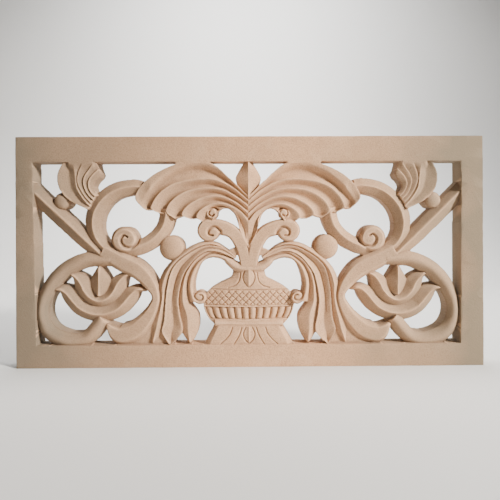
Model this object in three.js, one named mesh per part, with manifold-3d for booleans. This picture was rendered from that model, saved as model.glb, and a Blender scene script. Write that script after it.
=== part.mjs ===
import * as THREE from 'three';
import { mergeVertices } from 'three/addons/utils/BufferGeometryUtils.js';
import Module from 'manifold-3d';

// Sandstone jali screen: one slab, its frame and its pierced carving cut from the same stone.
// Millimetres, +Z up, the carved face looking along -Y, standing on the slab's bottom edge.

// Driving sizes of the slab
const SLAB_LENGTH = 1220;
const SLAB_HEIGHT = 602;
const SLAB_THICKNESS = 50;
const TOP_BORDER = 65;
const BOTTOM_BORDER = 58;
const LEFT_BORDER = 48;
const RIGHT_BORDER = 58;
const LEFT_JAMB_LEAN = 9;
const RIGHT_JAMB_LEAN = 3;

// Depths below the front face, from the shallow crests to the foot of a moulded side
const RAISED_DEPTH = 1;
const CREST_DEPTH = 3;
const FACE_DEPTH = 4;
const RIM_DEPTH = 6;
const SHOULDER_DEPTH = 12;
const EDGE_DEPTH = 16;
const FOOT_DEPTH = 19;
const WEB_DEPTH = 24;
const TROUGH_DEPTH = 12;
const GROOVE_DEPTH = 13;

// The opening as it was drawn for the carver; the drawing is stretched to the real opening
const DRAWN_HALF_WIDTH = 557;
const DRAWN_HEIGHT = 479;

// How finely curves and rounded sections are faceted
const CURVE_STEP = 37;
const ROUND_SHARES = [0, 0.22, 0.5, 0.78, 1];
const DISC_SIDES = 16;
const DOME_RINGS = 2;

// Neighbouring members run this far into each other, so that no slit is left between them
const LAP = 1.2;

// Carving left at the level of the slab's own face
const SLAB_FACE = 0;

const FRONT = -SLAB_THICKNESS / 2;
const BACK = SLAB_THICKNESS / 2;
const OPENING_LEFT = LEFT_BORDER - SLAB_LENGTH / 2;
const OPENING_RIGHT = SLAB_LENGTH / 2 - RIGHT_BORDER;
const OPENING_BOTTOM = BOTTOM_BORDER;
const OPENING_TOP = SLAB_HEIGHT - TOP_BORDER;
const PATTERN_AXIS = (OPENING_LEFT + OPENING_RIGHT) / 2;
const ACROSS = (OPENING_RIGHT - OPENING_LEFT) / 2 / DRAWN_HALF_WIDTH;
const UPWARD = (OPENING_TOP - OPENING_BOTTOM) / DRAWN_HEIGHT;

const LEFT = -1;
const RIGHT = 1;

const wasm = await Module();
wasm.setup();

// A drawn point: out = distance from the pattern's middle line, up = height above the opening's sill
function place(out, up, depth, side) {
  return new THREE.Vector3(
    PATTERN_AXIS + side * out * ACROSS,
    FRONT + depth,
    OPENING_BOTTOM + up * UPWARD,
  );
}

function toSolid(geometry) {
  const bare = new THREE.BufferGeometry();
  bare.setAttribute('position', geometry.getAttribute('position').clone());
  if (geometry.index) bare.setIndex(geometry.index.clone());
  const merged = mergeVertices(bare, 1e-3);
  const corners = merged.index.array;
  const position = merged.getAttribute('position');
  const kept = [];
  let volume = 0;
  const [p, q, r] = [new THREE.Vector3(), new THREE.Vector3(), new THREE.Vector3()];
  for (let i = 0; i < corners.length; i += 3) {
    const [a, b, c] = [corners[i], corners[i + 1], corners[i + 2]];
    if (a === b || b === c || c === a) continue;
    kept.push(a, b, c);
    p.fromBufferAttribute(position, a);
    q.fromBufferAttribute(position, b);
    r.fromBufferAttribute(position, c);
    volume += p.dot(q.cross(r));
  }
  if (volume < 0) kept.reverse();
  return new wasm.Manifold(new wasm.Mesh({
    numProp: 3,
    vertProperties: new Float32Array(position.array),
    triVerts: new Uint32Array(kept),
  }));
}

function joined(solids) {
  return solids.reduce((whole, solid) => whole.add(solid));
}

// Curves of the drawing: a curve runs smoothly through the few points that are given
function curveThrough(points) {
  const path = points.map(([out, up, width = 0]) => new THREE.Vector3(out, up, width));
  return new THREE.CatmullRomCurve3(path, false, 'centripetal');
}

function stepsAlong(curve) {
  return Math.max(3, Math.round(curve.getLength() / CURVE_STEP));
}

// Sections of a member, as depths at shares of the way from one edge to the other
function ridge(crest = CREST_DEPTH, edge = EDGE_DEPTH, lean = 0.5) {
  return [[0, edge], [lean, crest], [1, edge]];
}

function rounded(crest = CREST_DEPTH, edge = EDGE_DEPTH) {
  return ROUND_SHARES.map((share) => [share, edge + (crest - edge) * Math.sin(Math.PI * share)]);
}

function hollow(rim = CREST_DEPTH, trough = TROUGH_DEPTH) {
  return rounded(trough, rim);
}

function flat(face = FACE_DEPTH, edge = SHOULDER_DEPTH, chamfer = 0.14) {
  return [[0, edge], [chamfer, face], [1 - chamfer, face], [1, edge]];
}

// A member between two edges: its moulded top, two walls down to the back and two ends
function bandBetween(edgeA, edgeB, section, side) {
  const rows = edgeA.map((start, i) => {
    const end = edgeB[i];
    const span = Math.hypot(end[0] - start[0], end[1] - start[1]);
    const pointed = span < LAP;
    const lap = pointed ? 0 : LAP / span;
    return section.map(([share, depth]) => {
      const along = share * (1 + 2 * lap) - lap;
      const out = start[0] + (end[0] - start[0]) * along;
      const up = start[1] + (end[1] - start[1]) * along;
      const top = pointed ? section[0][1] : depth;
      return [place(out, up, top, side), place(out, up, SLAB_THICKNESS, side)];
    });
  });
  const vertices = [];
  const quad = (a, b, c, d) => vertices.push(a, b, c, a, c, d);
  const last = section.length - 1;
  for (let i = 0; i < rows.length - 1; i += 1) {
    const [here, next] = [rows[i], rows[i + 1]];
    for (let j = 0; j < last; j += 1) {
      quad(here[j][0], next[j][0], next[j + 1][0], here[j + 1][0]);
      quad(here[j][1], here[j + 1][1], next[j + 1][1], next[j][1]);
    }
    quad(here[0][0], here[0][1], next[0][1], next[0][0]);
    quad(here[last][0], next[last][0], next[last][1], here[last][1]);
  }
  for (let j = 0; j < last; j += 1) {
    const [first, end] = [rows[0], rows[rows.length - 1]];
    quad(first[j][0], first[j + 1][0], first[j + 1][1], first[j][1]);
    quad(end[j][0], end[j][1], end[j + 1][1], end[j + 1][0]);
  }
  return toSolid(new THREE.BufferGeometry().setFromPoints(vertices));
}

function lobe(pointsA, pointsB, section, side) {
  const [curveA, curveB] = [curveThrough(pointsA), curveThrough(pointsB)];
  const steps = Math.max(stepsAlong(curveA), stepsAlong(curveB));
  const sample = (curve) => curve.getSpacedPoints(steps).map((p) => [p.x, p.y]);
  return bandBetween(sample(curveA), sample(curveB), section, side);
}

// A stroke follows a spine of [out, up, width] stations
function strokeEdges(stations) {
  const curve = curveThrough(stations);
  const steps = stepsAlong(curve);
  const edges = [[], []];
  for (let i = 0; i <= steps; i += 1) {
    const spot = curve.getPointAt(i / steps);
    const along = curve.getTangentAt(i / steps).setZ(0).normalize();
    const reach = Math.max(spot.z, 0) / 2;
    edges[0].push([spot.x - along.y * reach, spot.y + along.x * reach]);
    edges[1].push([spot.x + along.y * reach, spot.y - along.x * reach]);
  }
  return edges;
}

function stroke(stations, section, side) {
  const [edgeA, edgeB] = strokeEdges(stations);
  return bandBetween(edgeA, edgeB, section, side);
}

function turned(out, up, profile, side) {
  const outline = profile.map(([radius, depth]) => new THREE.Vector2(radius, SLAB_THICKNESS - depth));
  const geometry = new THREE.LatheGeometry(outline, DISC_SIDES);
  const spot = place(out, up, SLAB_THICKNESS, side);
  geometry.rotateX(Math.PI);
  geometry.scale(ACROSS, 1, UPWARD);
  geometry.translate(spot.x, spot.y, spot.z);
  return toSolid(geometry);
}

function disc(out, up, radius, side, face = FACE_DEPTH, edge = SHOULDER_DEPTH, chamfer = 6) {
  const profile = [[0, face], [radius - chamfer, face], [radius, edge], [radius, SLAB_THICKNESS]];
  return turned(out, up, [...profile, [0, SLAB_THICKNESS]], side);
}

function dome(out, up, radius, side, crown = FACE_DEPTH, rim = EDGE_DEPTH) {
  const profile = [];
  for (let ring = 0; ring <= DOME_RINGS; ring += 1) {
    const angle = (ring / DOME_RINGS) * (Math.PI / 2);
    profile.push([radius * Math.sin(angle), rim + (crown - rim) * Math.cos(angle)]);
  }
  return turned(out, up, [...profile, [radius, SLAB_THICKNESS], [0, SLAB_THICKNESS]], side);
}

// A flat shape in the slab's plane, thick enough to run from its own depth to the back
function cutFrom(shape, thickness) {
  const geometry = new THREE.ExtrudeGeometry(shape, { depth: thickness, bevelEnabled: false });
  geometry.rotateX(Math.PI / 2);
  geometry.translate(0, BACK, 0);
  return toSolid(geometry);
}

function plate(points, depth, side) {
  const outline = points.map(([out, up]) => place(out, up, depth, side));
  const shape = new THREE.Shape(outline.map((p) => new THREE.Vector2(p.x, p.z)));
  return cutFrom(shape, SLAB_THICKNESS - depth);
}

// The slab's outline, and the frame: the slab with its slightly leaning opening
function slabShape() {
  return new THREE.Shape([
    new THREE.Vector2(-SLAB_LENGTH / 2, 0),
    new THREE.Vector2(SLAB_LENGTH / 2, 0),
    new THREE.Vector2(SLAB_LENGTH / 2, SLAB_HEIGHT),
    new THREE.Vector2(-SLAB_LENGTH / 2, SLAB_HEIGHT),
  ]);
}

function frame() {
  const slab = slabShape();
  slab.holes.push(new THREE.Path([
    new THREE.Vector2(OPENING_LEFT + LEFT_JAMB_LEAN / 2, OPENING_BOTTOM),
    new THREE.Vector2(OPENING_LEFT - LEFT_JAMB_LEAN / 2, OPENING_TOP),
    new THREE.Vector2(OPENING_RIGHT + RIGHT_JAMB_LEAN / 2, OPENING_TOP),
    new THREE.Vector2(OPENING_RIGHT - RIGHT_JAMB_LEAN / 2, OPENING_BOTTOM),
  ]));
  return cutFrom(slab, SLAB_THICKNESS);
}

// Pairs of strokes that lean to the two sides of one axis are drawn once and turned over
function turnedOver(points, axis) {
  return points.map(([out, up, ...rest]) => [2 * axis - out, up, ...rest]);
}

function arch(halfStations, axis) {
  return [...halfStations, ...turnedOver(halfStations.slice(0, -1), axis).reverse()];
}

// The outer corner: a stem from the jamb, the big C scroll and its volute, and two balls
function scrollWork(side) {
  const stem = [[600, 434, 42], [540, 376, 41], [480, 319, 42], [434, 275, 40], [385, 230, 30]];
  const scroll = [
    [280, 413, 34], [300, 415, 38], [350, 404, 41], [386, 375, 43],
    [405, 338, 44], [405, 297, 39], [388, 264, 34], [346, 229, 36],
  ];
  const lowerArm = [
    [212, 356, 40], [214, 335, 40], [223, 308, 38], [243, 283, 38], [274, 262, 38], [304, 254, 42],
    [330, 262, 40],
  ];
  return [
    stroke(stem, ridge(CREST_DEPTH, FOOT_DEPTH, 0.6), side),
    stroke(scroll, ridge(), side),
    stroke(lowerArm, ridge(FACE_DEPTH, EDGE_DEPTH, 0.45), side),
    disc(326, 276, 35, side, CREST_DEPTH, SHOULDER_DEPTH, 8),
    dome(488, 377, 22, side, RIM_DEPTH, EDGE_DEPTH),
    dome(203, 253, 33, side, FACE_DEPTH, EDGE_DEPTH),
  ];
}

// The lower ring: a round stem that curls back into the ring, closed by a long leaf
function lowerRing(side) {
  const stem = [
    [362, 224, 34], [430, 221, 38], [484, 195, 38], [520, 155, 37], [540, 108, 32], [540, 68, 33],
    [523, 33, 38], [490, 13, 40], [456, 8, 39], [425, 17, 37], [400, 43, 37], [381, 68, 34],
  ];
  const leaf = [
    [384, 246, 38], [332, 216, 46], [294, 197, 46], [262, 165, 36], [243, 126, 21],
    [252, 94, 30], [277, 58, 43], [307, 33, 50], [340, 27, 48], [372, 53, 6],
  ];
  return [
    stroke(stem, rounded(CREST_DEPTH, SHOULDER_DEPTH), side),
    stroke(leaf, flat(CREST_DEPTH, SHOULDER_DEPTH, 0.2), side),
  ];
}

// The lotus inside the ring: a bud and two pairs of pointed petals, each with a sharp crest
function lotus(side) {
  const axis = 393;
  const bud = [[axis, 211, 0], [axis, 192, 26], [axis, 167, 51], [axis, 146, 36], [axis, 124, 0]];
  const innerPetals = [
    [477, 186, 0], [457, 179, 22], [441, 160, 42], [431, 140, 39], [414, 122, 33], [axis, 114, 31],
  ];
  const outerPetals = [
    [521, 141, 0], [496, 145, 20], [478, 134, 39], [462, 115, 44], [444, 96, 43],
    [421, 84, 41], [axis, 79, 39],
  ];
  const heart = [[444, 150, 24], [420, 110, 34], [axis, 99, 36]];
  return [
    stroke(bud, ridge(RIM_DEPTH, FOOT_DEPTH), side),
    stroke(arch(innerPetals, axis), ridge(RIM_DEPTH, FOOT_DEPTH), side),
    stroke(arch(outerPetals, axis), ridge(RIM_DEPTH, FOOT_DEPTH), side),
    stroke(arch(heart, axis), flat(WEB_DEPTH, WEB_DEPTH), side),
  ];
}

// The flower in the upper corner: petals laid one over the other like shingles
function cornerFlower(side) {
  const edges = [
    [[472, 492], [491, 462], [497, 438], [490, 407], [466, 380], [417, 355]],
    [[459, 492], [455, 464], [451, 438], [447, 410], [429, 380], [412, 362]],
    [[418, 492], [440, 462], [447, 434], [443, 417], [426, 388], [410, 370]],
    [[400, 489], [424, 446], [431, 430], [429, 414], [418, 395], [404, 379]],
    [[396, 464], [411, 438], [418, 425], [416, 414], [408, 399], [399, 388]],
    [[388, 446], [400, 433], [407, 423], [408, 412], [401, 397], [394, 390]],
  ];
  const petals = edges.slice(1).map((inner, i) => lobe(edges[i], inner, hollow(), side));
  const behind = [
    [468, 492], [486, 450], [480, 405], [440, 375], [412, 364], [406, 400], [413, 425], [402, 440], [402, 492],
  ];
  return [...petals, plate(behind, WEB_DEPTH, side)];
}

// The frond over the middle: hollow lobes that spring from the trunk and arch outwards
function frond(side) {
  const edges = [
    [[0, 386], [40, 426], [98, 473], [150, 480], [200, 467], [250, 442], [283, 411], [294, 384]],
    [[0, 376], [40, 409], [90, 431], [150, 431], [197, 420], [231, 399], [251, 368]],
    [[0, 361], [31, 385], [72, 405], [126, 408], [168, 398], [204, 372], [213, 355]],
    [[0, 343], [31, 369], [72, 387], [112, 386], [151, 370], [172, 344]],
    [[0, 322], [21, 347], [60, 367], [99, 366], [129, 346], [134, 332]],
    [[0, 252], [24, 304], [25, 326], [40, 350], [68, 356], [86, 340], [100, 318]],
  ];
  const tips = [[273, 362], [231, 353], [192, 341], [151, 333], [118, 320]];
  const lobes = tips.map((tip, i) => lobe(
    [...edges[i], tip],
    [...edges[i + 1], tip],
    hollow(),
    side,
  ));
  const flushWithBorder = plate([[198, 492], [188, 471], [150, 474], [104, 474], [94, 492]], SLAB_FACE, side);
  return [...lobes, flushWithBorder];
}

// The arm that carries the frond's weight on the pot, ending in a volute
function arm(side) {
  const spine = [[8, 196, 26], [11, 225, 28], [22, 265, 33], [42, 293, 33], [74, 306, 38], [105, 309, 36]];
  return [
    stroke(spine, flat(FACE_DEPTH, SHOULDER_DEPTH, 0.12), side),
    disc(105, 298, 30, side, FACE_DEPTH, SHOULDER_DEPTH, 5),
    disc(95, 342, 15, side, FACE_DEPTH, SHOULDER_DEPTH, 4),
  ];
}

// The drooping leaves: three ribbed leaves and a cord that ends in a small curl
function droopingLeaves(side) {
  const edges = [
    [[34, 229], [84, 264], [116, 268], [148, 259], [200, 222], [226, 190], [236, 160], [236, 124], [257, 51]],
    [[34, 227], [66, 249], [108, 257], [147, 243], [196, 204], [212, 155], [220, 64], [226, 34]],
    [[36, 225], [80, 243], [107, 245], [134, 232], [156, 209], [173, 182], [186, 117], [182, 79], [176, 34]],
    [[42, 224], [80, 235], [102, 236], [124, 224], [146, 203], [160, 165], [155, 110], [133, 72], [136, 30]],
    [[58, 216], [84, 226], [107, 225], [125, 213], [136, 192], [144, 160], [142, 134], [128, 112]],
  ];
  const [first, second, third] = [[255, -2], [206, -2], [154, -2]];
  const behind = [[45, 228, 8], [100, 243, 18], [138, 231, 30], [166, 200, 44], [190, 155, 46], [192, 70, 46]];
  const besideLip = [[22, 262], [40, 257], [58, 251], [50, 240], [40, 228], [22, 236]];
  return [
    lobe([...edges[0], first], [...edges[1], first], ridge(CREST_DEPTH, SHOULDER_DEPTH), side),
    lobe([...edges[1], second], [...edges[2], second], hollow(), side),
    lobe([...edges[2], third], [...edges[3], third], ridge(CREST_DEPTH, SHOULDER_DEPTH, 0.35), side),
    lobe(edges[3].slice(0, -2), edges[4], rounded(CREST_DEPTH, SHOULDER_DEPTH), side),
    disc(128, 121, 17, side, FACE_DEPTH, SHOULDER_DEPTH, 4),
    stroke(behind, flat(WEB_DEPTH, WEB_DEPTH), side),
    plate(besideLip, SHOULDER_DEPTH, side),
    plate([[336, -10], [294, 18], [260, 52], [236, 86], [212, 70], [208, 38], [190, -10]], RIM_DEPTH, side),
  ];
}

// The middle: a bud under the top border, and a pot with lip, neck, shoulder, flutes and foot
function bud() {
  return [stroke([[0, 492, 10], [0, 468, 24], [0, 450, 50], [0, 433, 66], [0, 416, 56], [0, 396, 26], [0, 372, 0]],
    ridge(CREST_DEPTH, SHOULDER_DEPTH), LEFT)];
}

const FLUTE_COUNT = 12;
const FLUTE_TOP = 100;
const FLUTE_FOOT = 64;
const FLUTE_FALL = 5;

function pot() {
  const lip = [[70, 228], [59, 210], [41, 195], [17, 188], [-17, 188], [-41, 195], [-59, 210], [-70, 228]];
  const mouth = [[70, 228], [50, 225], [34, 215], [17, 209], [-17, 209], [-34, 215], [-50, 225], [-70, 228]];
  const contour = [
    [41, 204], [42, 184], [47, 173], [60, 166], [78, 157], [102, 141],
    [114, 127], [116, 111], [114, 96], [107, 80], [98, 66], [86, 50],
  ];
  const foot = [[86, 54], [97, 33], [110, 10], [121, -10]];
  const other = (points) => turnedOver(points, 0);
  const parts = [
    lobe(mouth, lip, rounded(RAISED_DEPTH, SHOULDER_DEPTH), LEFT),
    lobe(contour, other(contour), flat(CREST_DEPTH, SHOULDER_DEPTH, 0.25), LEFT),
    lobe(foot, other(foot), flat(CREST_DEPTH, 8, 0.04), LEFT),
    stroke([[89, 54, 18], [0, 54, 18], [-89, 54, 18]], rounded(RAISED_DEPTH, RIM_DEPTH), LEFT),
    stroke([[0, 196, 20], [0, 178, 30], [0, 162, 22], [0, 150, 0]], ridge(RAISED_DEPTH, FACE_DEPTH), LEFT),
    stroke([[0, 46, 16], [0, 28, 28], [0, 14, 20], [0, 2, 0]], ridge(RAISED_DEPTH, FACE_DEPTH), LEFT),
  ];
  for (let i = 0; i < FLUTE_COUNT; i += 1) {
    const share = (2 * i + 1) / FLUTE_COUNT - 1;
    const flute = [[share * 113, FLUTE_TOP, 19], [share * 98, FLUTE_FOOT, 16]];
    const fall = FLUTE_FALL * share * share;
    parts.push(stroke(flute, ridge(RAISED_DEPTH + fall, FACE_DEPTH + fall), LEFT));
  }
  return parts;
}

// Grooves cut into the volutes, as strokes whose section opens towards the front
function groove(stations, depth, side) {
  const [edgeA, edgeB] = strokeEdges(stations);
  const reach = 3 * CREST_DEPTH;
  const wall = (i, share, level) => {
    const out = edgeA[i][0] + (edgeB[i][0] - edgeA[i][0]) * share;
    const up = edgeA[i][1] + (edgeB[i][1] - edgeA[i][1]) * share;
    return place(out, up, level, side);
  };
  const vertices = [];
  const ring = edgeA.map((_, i) => [wall(i, 0, -reach), wall(i, 1, -reach), wall(i, 0.5, depth)]);
  for (let i = 0; i < ring.length - 1; i += 1) {
    for (let k = 0; k < 3; k += 1) {
      const [a, b] = [ring[i][k], ring[i][(k + 1) % 3]];
      const [c, d] = [ring[i + 1][(k + 1) % 3], ring[i + 1][k]];
      vertices.push(a, b, c, a, c, d);
    }
  }
  const last = ring[ring.length - 1];
  vertices.push(ring[0][0], ring[0][2], ring[0][1], last[0], last[1], last[2]);
  return toSolid(new THREE.BufferGeometry().setFromPoints(vertices));
}

function volutes(side) {
  const armVolute = [[74, 286, 14], [78, 300, 14], [90, 308, 14], [103, 302, 14], [107, 291, 12]];
  const scrollVolute = [[294, 272, 16], [304, 259, 16], [320, 259, 15], [332, 270, 15], [330, 284, 12]];
  const curl = [[142, 131, 10], [137, 119, 10], [127, 117, 9], [124, 126, 8]];
  const frondVolute = [[80, 352, 9], [93, 356, 9], [103, 347, 9], [98, 337, 8]];
  return [
    groove(armVolute, GROOVE_DEPTH, side),
    groove(scrollVolute, GROOVE_DEPTH, side),
    groove(curl, GROOVE_DEPTH, side),
    groove(frondVolute, GROOVE_DEPTH, side),
  ];
}

function carvedSide(side) {
  const members = [scrollWork, lowerRing, lotus, cornerFlower, frond, arm, droopingLeaves];
  return members.flatMap((member) => member(side));
}

function screenSolid() {
  const carving = joined([...carvedSide(LEFT), ...carvedSide(RIGHT), ...bud(), ...pot()]);
  const grooves = joined([...volutes(LEFT), ...volutes(RIGHT)]);
  const slab = cutFrom(slabShape(), SLAB_THICKNESS);
  return frame().add(carving.intersect(slab)).subtract(grooves);
}

const sandstone = new THREE.MeshStandardMaterial({ color: 0xc8aa91, roughness: 0.92, metalness: 0 });

// Corners that a cut left closer together than this are the same corner
const WELD = 0.02;

function meshOf(name, solid, material) {
  const { vertProperties, triVerts } = solid.getMesh();
  const loose = new THREE.BufferGeometry();
  loose.setAttribute('position', new THREE.BufferAttribute(new Float32Array(vertProperties), 3));
  loose.setIndex(new THREE.BufferAttribute(new Uint32Array(triVerts), 1));
  const geometry = mergeVertices(loose, WELD);
  const corners = geometry.index.array;
  const kept = [];
  for (let i = 0; i < corners.length; i += 3) {
    const [a, b, c] = [corners[i], corners[i + 1], corners[i + 2]];
    if (a !== b && b !== c && c !== a) kept.push(a, b, c);
  }
  geometry.setIndex(kept);
  geometry.computeVertexNormals();
  const mesh = new THREE.Mesh(geometry, material);
  mesh.name = name;
  return mesh;
}

const screen = new THREE.Group();
screen.add(meshOf('jali_screen', screenSolid(), sandstone));

export default screen;
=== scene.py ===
"""The carved sandstone jali screen.

One pierced slab, carved in relief on its face and finished as sawn and rubbed stone.
"""

import logging
import math
from collections.abc import Sequence
from dataclasses import dataclass, field
from enum import Enum

import bpy
import numpy as np
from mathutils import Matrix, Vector
from mathutils.bvhtree import BVHTree
from mathutils.geometry import tessellate_polygon

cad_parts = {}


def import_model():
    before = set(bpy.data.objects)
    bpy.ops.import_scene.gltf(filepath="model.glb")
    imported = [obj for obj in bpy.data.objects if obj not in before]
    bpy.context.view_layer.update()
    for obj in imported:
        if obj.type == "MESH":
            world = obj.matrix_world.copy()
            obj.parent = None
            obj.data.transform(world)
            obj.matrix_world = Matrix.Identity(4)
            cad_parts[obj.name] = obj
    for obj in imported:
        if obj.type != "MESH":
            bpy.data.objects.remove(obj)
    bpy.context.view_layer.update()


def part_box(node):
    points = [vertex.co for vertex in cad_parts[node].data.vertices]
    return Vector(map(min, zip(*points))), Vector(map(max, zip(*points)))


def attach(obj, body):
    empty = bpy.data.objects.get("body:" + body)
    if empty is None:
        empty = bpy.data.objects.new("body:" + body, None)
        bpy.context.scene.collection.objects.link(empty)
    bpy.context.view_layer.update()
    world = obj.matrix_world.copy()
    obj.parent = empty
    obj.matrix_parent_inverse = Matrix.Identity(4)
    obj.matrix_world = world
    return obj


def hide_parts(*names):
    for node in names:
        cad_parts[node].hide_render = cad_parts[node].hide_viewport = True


LOG = logging.getLogger("jali_screen")

# Drawn points: out and up, and a width where they are the stations of a spine
Stations = Sequence[Sequence[float]]

MM = 0.001
TRIANGLE_LIMIT = 196_000
FINE_PITCH = 1.25
WEB_DEPTH = 24.0


class Side(Enum):
    """The half of the panel that a member is carved on, seen from the front."""

    LEFT = -1
    RIGHT = 1


@dataclass(frozen=True)
class Drawing:
    """How the carver's drawing, in millimetres from the pattern's middle line and the sill, lies on the slab.

    Every length is in millimetres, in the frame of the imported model.
    """

    low: tuple[float, float, float]
    high: tuple[float, float, float]
    top_border: float = 65.0
    bottom_border: float = 58.0
    left_border: float = 48.0
    right_border: float = 58.0
    left_lean: float = 9.0
    right_lean: float = 3.0
    half_width: float = 557.0
    height: float = 479.0
    wobble: float = 0.9
    calm_reach: float = 60.0
    drift_up: float = 47.0
    drift_out: float = 61.0
    drift_phase: float = 2.1

    @property
    def thickness(self) -> float:
        """The slab's thickness."""
        return self.high[1] - self.low[1]

    @property
    def opening_left(self) -> float:
        """The opening's left side at half height."""
        return self.low[0] + self.left_border

    @property
    def opening_right(self) -> float:
        """The opening's right side at half height."""
        return self.high[0] - self.right_border

    @property
    def sill(self) -> float:
        """The opening's lower edge."""
        return self.low[2] + self.bottom_border

    @property
    def head(self) -> float:
        """The opening's upper edge."""
        return self.high[2] - self.top_border

    @property
    def axis(self) -> float:
        """The pattern's middle line."""
        return (self.opening_left + self.opening_right) / 2

    def across(self, out: np.ndarray, up: np.ndarray, side: Side) -> tuple[np.ndarray, np.ndarray]:
        """Places drawn points on the slab, with the small drift of a hand that sets out each half anew.

        Args:
            out: Distances from the middle line.
            up: Heights above the sill.
            side: The half that the points are drawn on.

        Returns:
            The points' x and z.
        """
        phase = 0.0 if side is Side.LEFT else self.drift_phase
        spread = self.opening_right - self.opening_left
        calm = np.clip(out / self.calm_reach, 0.0, 1.0) * self.wobble
        drawn_out = out + calm * np.sin(up / self.drift_up + phase)
        drawn_up = up + calm * np.sin(out / self.drift_out + 2 * phase)
        x = self.axis + side.value * drawn_out * spread / 2 / self.half_width
        z = self.sill + drawn_up * (self.head - self.sill) / self.height
        return x, z

    def drawn(self, x: np.ndarray, z: np.ndarray) -> tuple[np.ndarray, np.ndarray]:
        """Reads places on the slab back as drawn points, with out negative on the left."""
        out = (x - self.axis) * self.half_width * 2 / (self.opening_right - self.opening_left)
        return out, (z - self.sill) * self.height / (self.head - self.sill)

    def in_frame(self, x: np.ndarray, z: np.ndarray) -> np.ndarray:
        """Tells which places lie on the plain frame round the opening.

        Args:
            x: Places across the slab.
            z: Heights on the slab.

        Returns:
            True where the slab is plain frame.
        """
        rise = (z - self.sill) / (self.head - self.sill) - 0.5
        left = self.opening_left - self.left_lean * rise
        right = self.opening_right + self.right_lean * rise
        return (x <= left) | (x >= right) | (z <= self.sill) | (z >= self.head)


@dataclass(frozen=True)
class Section:
    """The depth below the slab's face across a member, from one edge to the other.

    Args:
        crest: The depth of the crest, or of the bottom where the section is hollow.
        edge: The depth along both edges.
        fade: The width below which the section flattens out towards a tip.
    """

    crest: float = 3.0
    edge: float = 12.0
    fade: float = 14.0

    def depths(self, shares: np.ndarray) -> np.ndarray:
        """Gives the depths at shares of the way across."""
        return self.edge + (self.crest - self.edge) * np.sin(np.pi * np.clip(shares, 0, 1))


@dataclass(frozen=True)
class Ridge(Section):
    """Two slopes that meet in a crest."""

    lean: float = 0.5

    def depths(self, shares: np.ndarray) -> np.ndarray:
        """Gives the depths of the two slopes."""
        rise = np.minimum(shares / self.lean, (1 - shares) / (1 - self.lean))
        return self.edge + (self.crest - self.edge) * np.clip(rise, 0, 1)


@dataclass(frozen=True)
class Hollow(Section):
    """A trough between two rims, deepest beside the far one, so that each lobe laps over the next."""

    lean: float = 1.5
    fade: float = 32.0

    def depths(self, shares: np.ndarray) -> np.ndarray:
        """Gives the depths of the trough."""
        return self.edge + (self.crest - self.edge) * np.sin(np.pi * np.clip(shares, 0, 1) ** self.lean)


@dataclass(frozen=True)
class Flat(Section):
    """A level face with a chamfer along both edges."""

    chamfer: float = 0.14

    def depths(self, shares: np.ndarray) -> np.ndarray:
        """Gives the depths of the face and its chamfers."""
        rise = np.minimum(shares, 1 - shares) / self.chamfer
        return self.edge + (self.crest - self.edge) * np.clip(rise, 0, 1)


def smooth_path(stations: Stations, count: int) -> np.ndarray:
    """Runs a smooth curve through the few stations of the drawing.

    Args:
        stations: Points, each with two or three values.
        count: The number of steps, equal in length.

    Returns:
        An array of count + 1 points.
    """
    points = np.array(stations, dtype=float)
    run = np.vstack([2 * points[0] - points[1], points, 2 * points[-1] - points[-2]])
    share = np.linspace(0, 1, 24, endpoint=False)[:, None]
    fine = []
    for a, b, c, d in zip(run[:-3], run[1:-2], run[2:-1], run[3:]):
        before, here, after = (max(np.linalg.norm(q - p), 1e-6) ** 0.5 for p, q in ((a, b), (b, c), (c, d)))
        leave = ((b - a) / before - (c - a) / (before + here) + (c - b) / here) * here
        arrive = ((c - b) / here - (d - b) / (here + after) + (d - c) / after) * here
        bend = -3 * b + 3 * c - 2 * leave - arrive
        fine.append(b + leave * share + bend * share**2 + (2 * b - 2 * c + leave + arrive) * share**3)
    fine.append(points[-1:])
    path = np.vstack(fine)
    length = np.concatenate([[0], np.cumsum(np.linalg.norm(np.diff(path[:, :2], axis=0), axis=1))])
    even = np.linspace(0, length[-1], count + 1)
    return np.column_stack([np.interp(even, length, column) for column in path.T])


def turned_over(points: Stations, axis: float) -> list[list[float]]:
    """Mirrors drawn points about an upright line."""
    return [[2 * axis - point[0], *point[1:]] for point in points]


def arch(half: Stations, axis: float) -> list[list[float]]:
    """Completes a symmetrical spine."""
    return [*[list(p) for p in half], *turned_over(half[:-1], axis)[::-1]]


@dataclass(frozen=True)
class Boss:
    """A round boss with a flat face and a chamfer round it.

    Args:
        out: How far its centre is from the middle line.
        up: How far its centre is above the sill.
        radius: Its radius.
        face: The depth of its face.
        edge: The depth of its edge.
        chamfer: The chamfer's width.
    """

    out: float
    up: float
    radius: float
    face: float = 4.0
    edge: float = 12.0
    chamfer: float = 4.0


@dataclass(frozen=True)
class Ball:
    """A ball that stands half out of the slab.

    Args:
        out: How far its centre is from the middle line.
        up: How far its centre is above the sill.
        radius: Its radius.
        crown: The depth of its highest point.
        rim: The depth of its edge.
    """

    out: float
    up: float
    radius: float
    crown: float
    rim: float


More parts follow.
